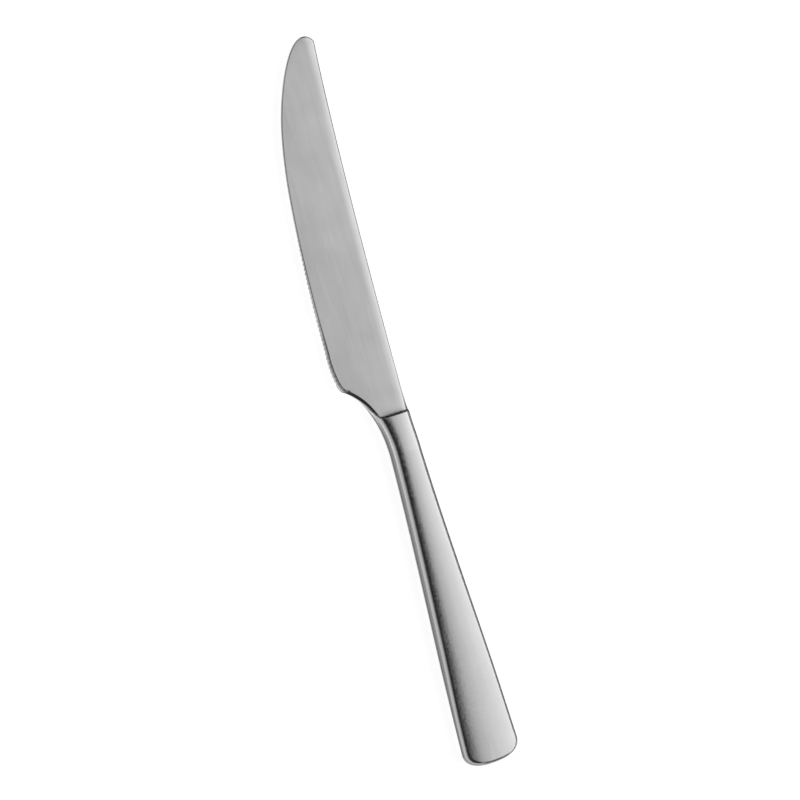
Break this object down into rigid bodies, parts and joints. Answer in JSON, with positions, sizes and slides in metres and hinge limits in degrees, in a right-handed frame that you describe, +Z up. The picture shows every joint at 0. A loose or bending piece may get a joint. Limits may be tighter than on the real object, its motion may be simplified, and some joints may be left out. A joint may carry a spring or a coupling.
{
  "type": "table knife",
  "caption": "Table knife with a rounded nose, a finely toothed rear edge, a full-round choil and a smooth hollow handle that widens to a square butt with rounded corners.",
  "frame": {"origin": "on the surface the knife lies on, under the middle of its bounding box", "axes": "+Y along the knife from butt to nose, -X towards the cutting edge, +Z up out of the face that shows, with the knife lying on its back face"},
  "size_m": [0.027, 0.2348, 0.0071],
  "materials": {
    "blade_steel": "satin, fine lengthwise brushing",
    "handle_steel": "satin, a little smoother than the blade",
    "braze": "ground flush",
    "cement": "cast resin cement, matte"
  },
  "bodies": {
    "root": {"blade": "blade_steel", "front_shell": "handle_steel", "back_shell": "handle_steel", "seam_braze": "braze", "mouth_braze": "braze", "tang_cement": "cement"}
  },
  "joints": []
}
